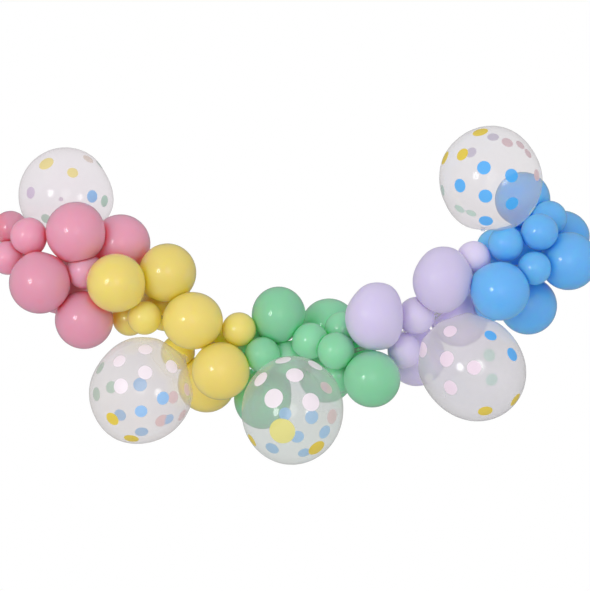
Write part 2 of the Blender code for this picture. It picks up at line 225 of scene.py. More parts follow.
# Printed dots: how far across and up from the balloon's middle the camera sees them, in radii, and the
# dot's width in metres. Far ones are on the back of the balloon, and faint ones are thinly printed
DOTS = {
    "clear_dotted_1": {
        "faint yellow": [(-0.42, 0.67, 0.048), (0.15, 0.47, 0.034)],
        "faint blue": [(0.57, -0.04, 0.038)],
        "lilac": [(-0.75, 0.04, 0.036)],
        "far peach": [(0.48, 0.76, 0.036)],
        "faint mint": [(0.83, -0.14, 0.036)],
        "far mint": [(0.73, 0.65, 0.030), (-0.42, -0.52, 0.034)],
        "far lilac": [(-0.10, -0.10, 0.014)],
    },
    "clear_dotted_2": {
        "white": [
            (0.09, 0.77, 0.040), (-0.42, 0.56, 0.040), (0.59, 0.44, 0.039), (0.09, 0.34, 0.042),
            (-0.39, 0.08, 0.045),
        ],
        "yellow": [(-0.55, -0.54, 0.042), (-0.18, -0.91, 0.043)],
        "faint blue": [(0.44, -0.15, 0.039), (0.01, -0.40, 0.037)],
        "far blue": [(-0.01, 0.11, 0.042), (-0.40, -0.47, 0.038), (0.02, -0.79, 0.040), (0.55, -0.55, 0.036)],
        "far pink": [(0.63, -0.13, 0.038), (0.42, -0.58, 0.044), (0.91, 0.02, 0.039), (0.81, -0.47, 0.039)],
        "far mint": [(-0.58, 0.06, 0.038), (-0.87, -0.07, 0.042), (-0.81, 0.44, 0.042)],
    },
    "clear_dotted_3": {
        "white": [
            (-0.18, 0.94, 0.045), (-0.63, 0.59, 0.048), (0.05, 0.67, 0.050), (0.45, 0.84, 0.045),
            (-0.37, 0.23, 0.057), (0.37, 0.16, 0.053),
        ],
        "lemon": [(-0.19, -0.37, 0.072)],
        "yellow": [(0.48, -0.70, 0.052), (-0.79, -0.55, 0.040)],
        "far blue": [
            (0.38, -0.12, 0.042), (-0.14, -0.06, 0.038), (0.10, -0.49, 0.040), (0.64, -0.40, 0.042),
            (-0.40, -0.71, 0.042), (0.24, -0.79, 0.038),
        ],
        "far pink": [(0.70, 0.45, 0.044), (0.78, -0.11, 0.045)],
    },
    "clear_dotted_4": {
        "rose": [
            (-0.44, 0.70, 0.038), (-0.89, 0.33, 0.039), (-0.54, 0.20, 0.047), (0.00, 0.03, 0.042),
            (-0.47, -0.37, 0.045),
        ],
        "blue": [(0.33, 0.67, 0.039), (0.75, 0.29, 0.042)],
        "yellow": [(0.21, -0.79, 0.042), (0.77, -0.57, 0.042)],
        "far mint": [(0.29, 0.26, 0.038), (0.35, -0.21, 0.040)],
        "far white": [(-0.82, -0.18, 0.034)],
    },
    "clear_dotted_5": {
        "blue": [
            (-0.14, 0.22, 0.040), (0.40, 0.07, 0.040), (-0.61, -0.12, 0.040), (-0.11, -0.32, 0.040),
            (0.41, -0.46, 0.040), (-0.10, -0.78, 0.040),
        ],
        "yellow": [(-0.56, 0.47, 0.039), (-0.21, 0.89, 0.045), (-0.89, 0.40, 0.042)],
        "far pink": [(0.32, 0.70, 0.036), (0.90, 0.08, 0.036), (0.58, 0.66, 0.032), (0.74, 0.50, 0.032)],
        "far lilac": [(0.04, 0.80, 0.034), (-0.39, 0.51, 0.034)],
        "far mint": [
            (-0.62, -0.57, 0.034), (-0.41, -0.68, 0.034), (-0.94, -0.21, 0.034), (0.80, -0.58, 0.034),
        ],
    },
}
INKS = {  # linear colours
    "white": (0.91, 0.81, 0.88),
    "rose": (0.86, 0.70, 0.82),
    "yellow": (0.78, 0.58, 0.02),
    "lemon": (0.76, 0.70, 0.22),
    "blue": (0.06, 0.42, 0.93),
    "pink": (0.78, 0.42, 0.45),
    "mint": (0.35, 0.66, 0.50),
    "lilac": (0.60, 0.49, 0.64),
    "peach": (0.94, 0.82, 0.66),
}
PALE = 0.84  # the grey that thin ink turns to, in each channel
FADED = 0.30  # how far the ink of far and faint dots turns to it
INK_COVER = 0.92  # how much of what is behind it ink hides

# The thick colour is also painted into the creases where two skins meet, as painted bounce light
LATEX = {  # linear colours of the stretched skin and of the thick skin at the neck, and how glossy it is
    "pink": ((0.78, 0.365, 0.49), (0.94, 0.17, 0.22), 0.9),
    "yellow": ((0.80, 0.66, 0.19), (0.95, 0.80, 0.06), 0.9),
    "green": ((0.26, 0.60, 0.38), (0.18, 0.80, 0.36), 0.9),
    "lilac": ((0.65, 0.59, 0.79), (0.78, 0.68, 0.94), 0.12),
    "blue": ((0.15, 0.48, 0.87), (0.05, 0.42, 0.96), 0.9),
}
# Partly each balloon's own depth of colour, partly painted light that lightens shaded balloons and deepens
# others
TONES_AND_PAINTED_LIGHT = {  # how much lighter or deeper than its colour group a balloon shows, partly as painted light
    "pink_large_3": 0.95, "pink_large_4": 0.91, "pink_large_5": 0.86, "pink_small_1": 0.86,
    "pink_small_4": 1.10,
    "yellow_small_3": 1.12, "yellow_small_4": 1.22,
    "green_large_2": 1.10, "green_small_1": 1.08, "green_small_2": 1.08, "green_small_3": 1.10,
    "green_small_7": 1.20, "green_small_8": 1.25,
    "lilac_small_3": 1.10,
    "blue_large_3": 0.93, "blue_large_6": 1.12, "blue_small_5": 1.08,
}
LEAST_SHADE, SHADE_SPREAD, SHADE_TURN = 0.97, 0.06, 0.618  # a small difference from each to the next

# How dense a clear film is, its milky tint, partly painted with the light of the balloons round it, and the
# painted bounce light it takes on where it touches, both linear
Film = namedtuple("Film", "density milk glow")
FILMS = {
    "clear_dotted_1": Film(0.21, (0.56, 0.42, 0.53), (0.78, 0.50, 0.60)),
    "clear_dotted_2": Film(0.34, (0.56, 0.50, 0.54), (0.84, 0.70, 0.22)),
    "clear_dotted_3": Film(0.38, (0.45, 0.50, 0.48), (0.34, 0.64, 0.44)),
    "clear_dotted_4": Film(0.46, (0.60, 0.57, 0.61), (0.66, 0.58, 0.76)),
    "clear_dotted_5": Film(0.25, (0.54, 0.47, 0.52), (0.36, 0.56, 0.86)),
}
PAINTED_RIM_LIGHT = (0.86, 0.82, 0.78)  # painted light: the lighter tint at a film's rim

# Studio
VIEW_CENTRE = Vector((1.0, 0, -0.225))
EYE = Vector((1.0, -6.0, -0.225))
LENS, SENSOR = 121.83, 36  # millimetres
FARTHEST_SEEN = 100
FLOOR = -2.0  # its height
FLOOR_CORNERS = [(-3, -4), (5, -4), (5, 4.5), (-3, 4.5)]
FLOOR_TINTS = (0.88, 0.88, 0.87), (0.92, 0.92, 0.91)
EVEN_SKY, FRONT_SKY, TOP_SKY = 0.68, 0.36, 0.04  # light from all round, and more from front and top
REFLECTED_LOSS = 0.65  # how much of it reflections don't show
LIGHTS = {  # distance and direction from the centre of the view, width, and radiance
    "key": (7, (-0.572, -0.812, 0.114), 1.8, 8.0),
    "fill": (6.6, (0.05, -0.99, 0.10), 3.0, 1.0),
}


# ---- node trees


class Wire:
    """A node's output, to be fed to other nodes."""

    def __init__(self, graph, socket):
        self.graph, self.socket = graph, socket

    def out(self, name):
        """Another output of the same node."""
        return self.graph.wire(next(s for s in self.socket.node.outputs if s.enabled and s.name == name))


def both_ways(operation):
    """An operator's two methods: with the wire on its left, and with the wire on its right."""
    return (
        lambda wire, other: wire.sum(operation, wire, other),
        lambda wire, other: wire.sum(operation, other, wire),
    )


class Number(Wire):
    """A number on a wire. Arithmetic on it adds the Math nodes that work it out."""

    def sum(self, operation, *values):
        names = ("Value", "Value_001", "Value_002")
        return self.graph.add("ShaderNodeMath", dict(zip(names, values)), operation=operation)

    __add__, __radd__ = both_ways("ADD")
    __sub__, __rsub__ = both_ways("SUBTRACT")
    __mul__, __rmul__ = both_ways("MULTIPLY")
    __truediv__, __rtruediv__ = both_ways("DIVIDE")
    __pow__, __rpow__ = both_ways("POWER")

    def ramp(self, start, end):
        """0 up to start, 1 from end on, and smooth between them. End may be the smaller."""
        values = {"Value": self, "From Min": start, "From Max": end}
        return self.graph.add("ShaderNodeMapRange", values, interpolation_type="SMOOTHSTEP")


def vector_math(operation, second="Vector_001"):
    """A method that does one operation on the wire, or on the wire and a second input."""

    def method(wire, *others):
        values = dict(zip(("Vector", second), (wire, *others)))
        return wire.graph.add("ShaderNodeVectorMath", values, operation=operation)

    return method


class Arrow(Wire):
    """A vector on a wire, with the arithmetic of Vector Math nodes."""

    __add__, __sub__ = vector_math("ADD"), vector_math("SUBTRACT")
    __mul__, times = vector_math("SCALE", "Scale"), vector_math("MULTIPLY")
    dot, unit, length = vector_math("DOT_PRODUCT"), vector_math("NORMALIZE"), vector_math("LENGTH")

    def part(self, name):
        """The X, Y or Z of the vector. The others are outputs of the same node."""
        return self.graph.add("ShaderNodeSeparateXYZ", {"Vector": self}, name)


class Graph:
    """A node tree. Every node of it comes from add()."""

    def __init__(self, tree):
        self.tree = tree

    def wire(self, socket):
        kinds = {"VALUE": Number, "INT": Number, "VECTOR": Arrow}
        return kinds.get(socket.type, Wire)(self, socket)

    def feed(self, node, name, value):
        """Links a wire to a node's input, or sets the input to a plain value."""
        socket = next(s for s in node.inputs if s.enabled and name in (s.name, s.identifier))
        if isinstance(value, Wire):
            self.tree.links.new(value.socket, socket)
        else:
            socket.default_value = value

    def add(self, kind, values=None, out=None, **settings):
        """A new node of a type, with its settings and then its inputs. Gives one of its outputs."""
        node = self.tree.nodes.new(kind)
        for name, value in settings.items():
            setattr(node, name, value)
        for name, value in (values or {}).items():
            self.feed(node, name, value)
        found = [s for s in node.outputs if s.enabled and out in (None, s.name)]
        return self.wire(found[0]) if found else node

    def mix(self, factor, a, b):
        """One colour turning into another."""
        a, b = (c if isinstance(c, Wire) else (*c, 1) for c in (a, b))
        return self.add("ShaderNodeMix", {"Factor": factor, "A": a, "B": b}, data_type="RGBA")


def geometry_tree(name, **inputs):
    """A new geometry tree, its named inputs as wires, and a function that closes it."""
    tree = bpy.data.node_groups.new(name, "GeometryNodeTree")
    tree.interface.new_socket("Geometry", in_out="OUTPUT", socket_type="NodeSocketGeometry")
    for kind, titles in {"Geometry": ["Geometry"], **inputs}.items():
        for title in titles:
            tree.interface.new_socket(title, in_out="INPUT", socket_type=f"NodeSocket{kind}")
    graph = Graph(tree)
    source = tree.nodes.new("NodeGroupInput")
    given = {s.name: graph.wire(s) for s in source.outputs if s.name}

    def close(geometry, material):
        """Ends the tree as every one of them ends."""
        real = graph.add("GeometryNodeRealizeInstances", {"Geometry": geometry})
        skin = graph.add("GeometryNodeSetMaterial", {"Geometry": real, "Material": material})
        graph.add("NodeGroupOutput", {"Geometry": skin})
        return tree

    return graph, given, close


def repeated(graph, times, geometry, step):
    """A repeat zone that passes the geometry through step as many times as asked."""
    begin = graph.tree.nodes.new("GeometryNodeRepeatInput")
    end = graph.tree.nodes.new("GeometryNodeRepeatOutput")
    begin.pair_with_output(end)
    graph.feed(begin, "Iterations", times)
    graph.feed(begin, "Geometry", geometry)
    turn = graph.wire(begin.outputs["Iteration"])
    graph.feed(end, "Geometry", step(graph.wire(begin.outputs["Geometry"]), turn))
    return graph.wire(end.outputs["Geometry"])


def helper_shape(graph, helper):
    """The geometry of a helper object, and how many points it has."""
    shape = graph.add("GeometryNodeObjectInfo", {"Object": helper}, "Geometry")
    count = graph.add("GeometryNodeAttributeDomainSize", {"Geometry": shape}, "Point Count")
    return shape, count


def picked(graph, shape, value, index, kind="FLOAT_VECTOR"):
    """The value that a field has at one point of a shape."""
    values = {"Geometry": shape, "Value": value, "Index": index}
    return graph.add("GeometryNodeSampleIndex", values, data_type=kind)


def stored(graph, geometry, name, value, kind="FLOAT"):
    """The geometry with a value kept on its points under a name."""
    values = {"Geometry": geometry, "Name": name, "Value": value}
    return graph.add("GeometryNodeStoreNamedAttribute", values, data_type=kind)


def named(graph, name, kind="FLOAT"):
    return graph.add("GeometryNodeInputNamedAttribute", {"Name": name}, data_type=kind)


def combine(graph, x, y, z):
    return graph.add("ShaderNodeCombineXYZ", {"X": x, "Y": y, "Z": z})


def moved(graph, geometry, place):
    """The geometry with its points at new places."""
    return graph.add("GeometryNodeSetPosition", {"Geometry": geometry, "Position": place})


def balloon_tree():
    """An outline turned into a balloon, which is then aimed, swollen, stretched and pressed flat."""
    graph, given, close = geometry_tree(
        "blown_balloon",
        Object=["Outline", "Presses", "Swells"],
        Int=["Around"],
        Float=["Radius", "Tall", "Pleats", "Pleat depth", "Crease softness", "Tone"],
        Vector=["Aim", "Centre"],
        Material=["Skin"],
    )
    place = graph.add("GeometryNodeInputPosition")
    outline, count = helper_shape(graph, given["Outline"])
    rings = count - 1
    size = {"Segments": given["Around"], "Rings": rings, "Radius": 1}
    ball = graph.add("GeometryNodeMeshUVSphere", size, "Mesh")

    # each ring of the ball takes its place from one point of the outline
    height = place.part("Z")
    ring = height.sum("ROUND", height.sum("ARCCOSINE", height) * rings / math.pi)
    point = picked(graph, outline, place, ring)
    across = point.part("X")
    up = across.out("Z")
    outwards = place.times((1, 1, 0)).unit()
    angle = height.sum("ARCTAN2", height.out("Y"), height.out("X"))
    pleat = height.sum("SINE", angle * given["Pleats"]) * given["Pleat depth"] * up.ramp(*PLEAT_HEIGHTS)
    turned = outwards * (across * (1 + pleat)) + combine(graph, 0, 0, up)
    shape = moved(graph, ball, turned)
    shape = stored(graph, shape, "along", up)
    shape = stored(graph, shape, "tone", given["Tone"])
    shape = stored(graph, shape, "touch", 0.0)

    swells, swell_count = helper_shape(graph, given["Swells"])
    values = {"Vector": place, "Rotation": given["Aim"]}
    aimed = graph.add("ShaderNodeVectorRotate", values, rotation_type="EULER_XYZ")
    shape = moved(graph, shape, aimed * given["Radius"])

    def swell(geometry, turn):
        way = picked(graph, swells, place, turn)
        amount = picked(graph, swells, named(graph, "amount"), turn, "FLOAT")
        spread = picked(graph, swells, named(graph, "spread"), turn, "FLOAT")
        near = math.e ** ((place.unit().dot(way) - 1) / spread)
        return moved(graph, geometry, place * (1 + near * amount))

    shape = repeated(graph, swell_count, shape, swell)
    shape = moved(graph, shape, place.times(combine(graph, 1, 1, given["Tall"])))

    presses, press_count = helper_shape(graph, given["Presses"])

    def press(geometry, turn):
        foot = picked(graph, presses, place, turn)
        reach = foot.length()
        beyond = place.dot(foot.unit())
        share = reach / beyond.sum("MAXIMUM", beyond, HAIR)
        nearness = share.sum("MAXIMUM", share.ramp(*TOUCH_SHARES), named(graph, "touch"))
        geometry = stored(graph, geometry, "touch", nearness)
        keep = share.sum("SMOOTH_MIN", share, 1, given["Crease softness"])
        return moved(graph, geometry, place * keep)

    shape = repeated(graph, press_count, shape, press)
    shape = moved(graph, shape, place + given["Centre"])
    shape = graph.add("GeometryNodeSetShadeSmooth", {"Geometry": shape})
    return close(shape, given["Skin"])


def dots_tree():
    """Marks each point of a skin with its way to the nearest dot's edge, that dot's ink, milk and painted
    bounce light.
    """
    graph, given, close = geometry_tree(
        "printed_dots",
        Object=["Dots"],
        Float=["Radius"],
        Vector=["Centre"],
        Color=["Milk", "Glow"],
        Material=["Skin"],
    )
    place = graph.add("GeometryNodeInputPosition")
    way = (place - given["Centre"]).unit()
    dots, _ = helper_shape(graph, given["Dots"])
    nearest = graph.add("GeometryNodeSampleNearest", {"Geometry": dots, "Sample Position": way})
    middle = picked(graph, dots, place, nearest)
    radius = picked(graph, dots, named(graph, "dot_radius"), nearest, "FLOAT")
    ink = picked(graph, dots, named(graph, "ink", "FLOAT_COLOR"), nearest, "FLOAT_COLOR")
    edge = (way - middle).length() * given["Radius"] - radius
    shape = stored(graph, given["Geometry"], "dot_edge", edge)
    for name, colour in {"ink": ink, "milk": given["Milk"], "glow": given["Glow"]}.items():
        shape = stored(graph, shape, name, colour, "FLOAT_COLOR")
    return close(shape, given["Skin"])


def strip_tree():
    """Punched links in a row, bent along the strip's route."""
    graph, given, close = geometry_tree(
        "punched_strip",
        Object=["Link", "End link", "Route"],
        Int=["Links"],
        Float=["Pitch", "End length"],
        Material=["Plastic"],
    )
    place = graph.add("GeometryNodeInputPosition")
    link, _ = helper_shape(graph, given["Link"])
    end_link, _ = helper_shape(graph, given["End link"])
    first = combine(graph, given["End length"] + given["Pitch"] / 2, 0, 0)
    line = graph.add(
        "GeometryNodeMeshLine",
        {"Count": given["Links"], "Start Location": first, "Offset": combine(graph, given["Pitch"], 0, 0)},
    )
    row = graph.add("GeometryNodeInstanceOnPoints", {"Points": line, "Instance": link})
    near = combine(graph, given["End length"] / 2, 0, 0)
    far = combine(graph, given["End length"] * 1.5 + given["Pitch"] * given["Links"], 0, 0)
    ends = [
        graph.add("GeometryNodeTransform", {"Geometry": end_link, "Translation": middle})
        for middle in (near, far)
    ]
    join = graph.tree.nodes.new("GeometryNodeJoinGeometry")
    for part in (row, *ends):
        graph.tree.links.new(part.socket, join.inputs[0])
    flat = graph.add("GeometryNodeRealizeInstances", {"Geometry": graph.wire(join.outputs[0])})
    flat = graph.add("GeometryNodeMergeByDistance", {"Geometry": flat, "Distance": WELD})
    route, _ = helper_shape(graph, given["Route"])
    route = graph.add("GeometryNodeMeshToCurve", {"Mesh": route})
    travelled = place.part("X")
    values = {"Curves": route, "Length": travelled}
    sample = graph.add("GeometryNodeSampleCurve", values, "Position", mode="LENGTH", data_type="FLOAT")
    along = sample.out("Tangent")
    upright = combine(graph, 0, 0, 1)
    width = (upright - along * along.dot(upright)).unit()
    bent = sample + width * travelled.out("Y")
    return close(moved(graph, flat, bent), given["Plastic"])


# ---- shapes

Pear = namedtuple("Pear", "name colour size centre radii swell axis length planes")


def points_mesh(name, points, edges=(), **attributes):
    """A helper object of loose points with named values on them."""
    mesh = bpy.data.meshes.new(name)
    mesh.from_pydata([tuple(p) for p in points], list(edges), [])
    for title, values in attributes.items():
        colour = bool(values) and isinstance(values[0], tuple)
        kept = mesh.attributes.new(title, "FLOAT_COLOR" if colour else "FLOAT", "POINT")
        for item, value in zip(kept.data, values):
            if colour:
                item.color = (*value, 1)
            else:
                item.value = value
    return bpy.data.objects.new(name, mesh)


def made_by(name, trees, values, finish=None):
    """A plain mesh object made by geometry trees, which find their inputs by name among the values."""
    blank = bpy.data.objects.new(name, bpy.data.meshes.new(name))
    bpy.context.scene.collection.objects.link(blank)
    for tree in trees:
        modifier = blank.modifiers.new(tree.name, "NODES")
        modifier.node_group = tree
        for item in tree.interface.items_tree:
            if item.in_out == "INPUT" and item.name in values:
                modifier[item.identifier] = values[item.name]
    if finish:
        finish(blank)
    bpy.context.view_layer.update()
    evaluated = blank.evaluated_get(bpy.context.evaluated_depsgraph_get())
    mesh = bpy.data.meshes.new_from_object(evaluated)
    bpy.data.objects.remove(blank)
    mesh.name = name
    piece = bpy.data.objects.new(name, mesh)
    bpy.context.scene.collection.objects.link(piece)
    return piece


def smooth_route(points, per_stretch):
    """Points of a smooth curve through the given ones (Catmull-Rom)."""
    route = []
    for i in range(len(points) - 1):
        before, a, b, after = (points[max(0, min(j, len(points) - 1))] for j in range(i - 1, i + 3))
        for step in range(per_stretch):
            t = step / per_stretch
            cubic = (2 * a + (b - before) * t) + (2 * before - 5 * a + 4 * b - after) * t**2
            route.append(0.5 * (cubic + (3 * (a - b) + after - before) * t**3))
    return [*route, points[-1]]


def strip_route(per_stretch):
    """The strip's centre line, with both ends kept straight."""
    left, middle, right = ([Vector(p) for p in part] for part in (LEFT_END, MIDDLE, RIGHT_END))
    inner = smooth_route([left[-1], *middle, right[0]], per_stretch)
    return left[:-1] + inner + right[1:]


def turned_edges(route):
    """Each point of the route with the direction of the strip's width there, in an upright plane."""
    places = []
    for i, point in enumerate(route):
        along = (route[min(i + 1, len(route) - 1)] - route[max(i - 1, 0)]).normalized()
        up = Vector((0, 0, 1))
        places.append((point, (up - along * up.dot(along)).normalized()))
    return places


def reach_towards(radii, direction):
    """How far a stretched round body's skin is from its centre in a direction."""
    return 1 / math.sqrt(sum((d / r) ** 2 for d, r in zip(direction, radii)))


def contact_planes(index, bodies):
    """Planes that part a balloon from its neighbours, as a direction from its centre and a distance."""
    centre, radii = bodies[index]
    planes = []
    for other, (place, other_radii) in enumerate(bodies):
        apart = place - centre
        distance = apart.length
        if other == index or distance == 0:
            continue
        way = apart / distance
        near, far = reach_towards(radii, way), reach_towards(other_radii, way)
        if distance < near + far + REACH:
            planes.append((way, (distance**2 + near**2 - far**2) / (2 * distance) - GAP / 2))
    return planes


def strip_plane(centre, longest, places):
    """The plane that keeps a balloon off the strip, as a direction from its centre and a distance."""
    nearest = min((point for point, _ in places), key=lambda p: (p - centre).length)
    way = (nearest - centre).normalized()
    reach = max(longest, (nearest - centre).length + STRIP_WIDTH)
    room = min(
        (point + width * side * STRIP_WIDTH / 2 - centre).dot(way)
        for point, width in places
        if (point - centre).length < reach
        for side in (-1, 0, 1)
    )
    return way, room - STRIP_THICKNESS - GAP


def neck_room(axis, planes, knot):
    """How far a neck can run along an axis before its knot meets a plane."""
    room = math.inf
    for way, distance in planes:
        lean = axis.dot(way)
        if lean > 0:
            room = min(room, (distance - knot * math.sqrt(max(0, 1 - lean**2))) / lean)
    return room


def knot_direction(centre, radii, places, planes, knot):
    """The way to the point of the strip that leaves the neck the most room, and that room."""
    best = (0, Vector((0, 0, 1)))
    nearest = min((point - centre).length for point, _ in places)
    for point, _ in places:
        if (point - centre).length < nearest + KNOT_SEARCH:
            axis = (point - centre).normalized()
            room = neck_room(axis, planes, knot) / reach_towards(radii, axis)
            best = max(best, (room, axis), key=lambda found: found[0])
    return best


def plan_pears():
    """Every balloon's shape, worked out from the table and from its neighbours."""
    places = turned_edges(strip_route(PLANNED_STEPS))
    table = [
        (f"{colour}_{size}_{number}", colour, size, Balloon(*row))
        for (colour, size), group in BALLOONS.items()
        for number, row in enumerate(group, 1)
    ]
    bodies = [(Vector((b.x, b.y, b.z)), Vector((b.radius, b.radius, b.radius * b.tall))) for *_, b in table]
    pears = []
    for index, (name, colour, size, balloon) in enumerate(table):
        centre, radii = bodies[index]
        planes = contact_planes(index, bodies)
        planes.append(strip_plane(centre, radii.z * LONGEST_NECK[size], places))
        room, axis = knot_direction(centre, radii, places, planes, KNOT_RADIUS[size])
        length = min(room, LONGEST_NECK[size])
        pears.append(Pear(name, colour, size, centre, radii, balloon.swell, axis, length, planes))
    return pears


def body_point(swell, angle):
    """A point of a body's outline, at an angle from the knot's axis."""
    more = swell * (math.exp(-((angle / SWELL_SPREAD) ** 2)) + SWELL_LENGTH * (math.cos(angle) ** 2 - 0.5))
    return Vector((math.sin(angle), 0, math.cos(angle))) * (1 + more)


def balloon_outline(size, swell, length, radius):
    """Half of a balloon's outline in units of its radius, from the mouth of its tail down to the crown."""
    knot = KNOT_RADIUS[size] / radius
    keys = [Vector((r * knot, 0, length - drop * knot)) for r, drop in KNOT_OUTLINE]
    tail = smooth_route(keys, KNOT_STEPS)
    foot = tail[-1]
    shoulder = body_point(swell, SHOULDER)
    span = (shoulder - foot).length
    leave = Vector(NECK_LEAVES) * span * NECK_FLARE
    arrive = (body_point(swell, SHOULDER + NUDGE) - shoulder).normalized() * span
    neck = []
    for i in range(1, NECK_RINGS):
        t = i / NECK_RINGS
        neck.append(
            foot * (2 * t**3 - 3 * t**2 + 1)
            + leave * (t**3 - 2 * t**2 + t)
            + shoulder * (3 * t**2 - 2 * t**3)
            + arrive * (t**3 - t**2)
        )
    rings = BODY_RINGS[size]
    angles = [SHOULDER + (math.pi - SHOULDER) * i / rings for i in range(rings + 1)]
    body = [body_point(swell, angle) for angle in angles]
    outline = tail + neck + body
    outline[0].x = outline[-1].x = 0
    return outline


def skin_direction(centre, radii, across, up, far):
    """The way from a balloon's centre to where the camera's line of sight meets its near or far skin."""
    start = Vector(e / r for e, r in zip(EYE - centre, radii))
    sight = Vector((across, 0, up)) - start
    half, square = start.dot(sight), sight.length_squared
    root = math.sqrt(max(0, half**2 - square * (start.length_squared - 1)))
    met = start + sight * ((root if far else -root) - half) / square
    return (met * radii).normalized()


def dot_points(pear):
    """The middles of a balloon's dots as directions, with each dot's radius and ink."""
    middles, sizes, inks = [], [], []
    for kind, dots in DOTS[pear.name].items():
        far = kind.startswith("far ")
        fade = FADED if kind.startswith(("far ", "faint ")) else 0
        ink = tuple(channel + (PALE - channel) * fade for channel in INKS[kind.split()[-1]])
        for across, up, width in dots:
            middles.append(skin_direction(pear.centre, pear.radii, across, up, far))
            sizes.append(width / 2)
            inks.append(ink)
    return points_mesh(f"{pear.name}_dot_places", middles, dot_radius=sizes, ink=inks)


def skin_tone(pear, number):
    """How light a balloon's latex is next to its colour group, with painted light in it, or a clear one's
    film density.
    """
    if pear.name in FILMS:
        return FILMS[pear.name].density
    return TONES_AND_PAINTED_LIGHT.get(pear.name, 1) * (LEAST_SHADE + SHADE_SPREAD * ((number * SHADE_TURN) % 1))


def build_balloon(pear, number, trees, skin):
    """One balloon as a finished piece."""
    half = balloon_outline(pear.size, pear.swell, pear.length, pear.radii.x)
    outline = points_mesh(f"{pear.name}_outline", half)
    presses = points_mesh(f"{pear.name}_presses", [way * distance for way, distance in pear.planes])
    bulges = SWELLS.get(pear.name, [])
    swells = points_mesh(
        f"{pear.name}_swells",
        [Vector(way).normalized() for way, _, _ in bulges],
        amount=[amount for _, amount, _ in bulges],
        spread=[spread for _, _, spread in bulges],
    )
    sizes = {
        "Outline": outline,
        "Presses": presses,
        "Swells": swells,
        "Around": AROUND[pear.size],
        "Radius": pear.radii.x,
        "Tall": pear.radii.z / pear.radii.x,
        "Aim": tuple(pear.axis.to_track_quat("Z", "Y").to_euler()),
        "Centre": tuple(pear.centre),
        "Pleats": float(PLEATS[pear.size]),
        "Pleat depth": PLEAT_DEPTH,
        "Crease softness": CREASE_SOFTNESS[pear.size],
        "Tone": skin_tone(pear, number),
        "Skin": skin,
    }
    kind, steps, helpers = "latex", [trees["balloon"]], [outline, presses, swells]
    if pear.size == "dotted":
        kind, film, dots = "film", FILMS[pear.name], dot_points(pear)
        sizes |= {"Dots": dots, "Milk": (*film.milk, 1), "Glow": (*film.glow, 1)}
        steps.append(trees["dots"])
        helpers.append(dots)
    piece = made_by(f"{pear.name}_{kind}", steps, sizes)
    for helper in helpers:
        bpy.data.objects.remove(helper)
    return piece


def ring_between(name, outer, inner):
    """A flat helper with one ring of faces between an outer and an inner outline."""
    count = len(outer)
    faces = [(i, (i + 1) % count, count + (i + 1) % count, count + i) for i in range(count)]
    mesh = bpy.data.meshes.new(name)
    mesh.from_pydata([(x, y, 0) for x, y in (*outer, *inner)], [], faces)
    return bpy.data.objects.new(name, mesh)


def link_border(length):
    """The edge points of one link, anticlockwise from the middle of its right end."""
    half, side = length / 2, STRIP_WIDTH / 2
    steps = [half * (1 - 2 * i / LINK_STEPS) for i in range(LINK_STEPS + 1)]
    upper = [(half, 0), *((x, side) for x in steps)]
    return upper + [(-x, -y) for x, y in upper]


def round_opening(border, radius, stretch=0, slim=0):
    """An opening with a point for each border point. Stretched and slimmed on one side, it is a keyhole."""
    count = len(border)
    opening = []
    for i in range(count):
        angle = 2 * math.pi * i / count
        x, y = radius * math.cos(angle), radius * math.sin(angle)
        tail = max(0, math.cos(angle)) ** KEYHOLE_TAPER
        opening.append((x + stretch * tail, y * (1 - slim * tail)))
    return opening


def build_strip(tree, plastic):
    """The punched plastic strip as a finished piece."""
    route = strip_route(BUILT_STEPS)
    length = sum((b - a).length for a, b in zip(route, route[1:]))
    end_length = 2 * END_HOLE_INSET
    links = round((length - 2 * end_length) / LINK_PITCH)
    pitch = (length - 2 * end_length) / links
    border, end_border = link_border(pitch), link_border(end_length)
    keyhole = round_opening(border, KEYHOLE_RADIUS, KEYHOLE_REACH, KEYHOLE_SLIM)
    helpers = {
        "Link": ring_between("punched_link", border, keyhole),
        "End link": ring_between("end_link", end_border, round_opening(end_border, END_HOLE_RADIUS)),
        "Route": points_mesh("strip_path", route, [(i, i + 1) for i in range(len(route) - 1)]),
    }

    def thicken(blank):
        wall = blank.modifiers.new("thickness", "SOLIDIFY")
        wall.thickness = STRIP_THICKNESS
        wall.offset = 1

    sizes = {**helpers, "Links": links, "Pitch": pitch, "End length": end_length, "Plastic": plastic}
    piece = made_by("strip_plastic", [tree], sizes, finish=thicken)
    for helper in helpers.values():
        bpy.data.objects.remove(helper)
    return piece


# ---- materials

# Noise scales, per metre
LATEX_CLOUDS, LATEX_GRAIN = 14, 900
FILM_CLOUDS, FILM_GRAIN = 11, 500
PLASTIC_CLOUDS, PLASTIC_SCUFFS = 40, (60, 900, 900)
FLOOR_CLOUDS = 3
# Latex: between which heights above the centre its neck and its crown thicken, and how far each thing
# turns it to its thick colour; where two skins touch, that colour is painted bounce light
NECK_HEIGHTS, CROWN_HEIGHTS = (0.80, 1.12), (-0.975, -0.999)
NECK_DEPTH, PAINTED_BOUNCE_DEPTH, CROWN_DEPTH, CLOUD_DEPTH, GRAIN_DEPTH = 0.30, 0.75, 0.08, 0.16, 0.05
LATEX_BLEED = 1.6  # the power to which a channel's share of the colour sets how far it travels inside
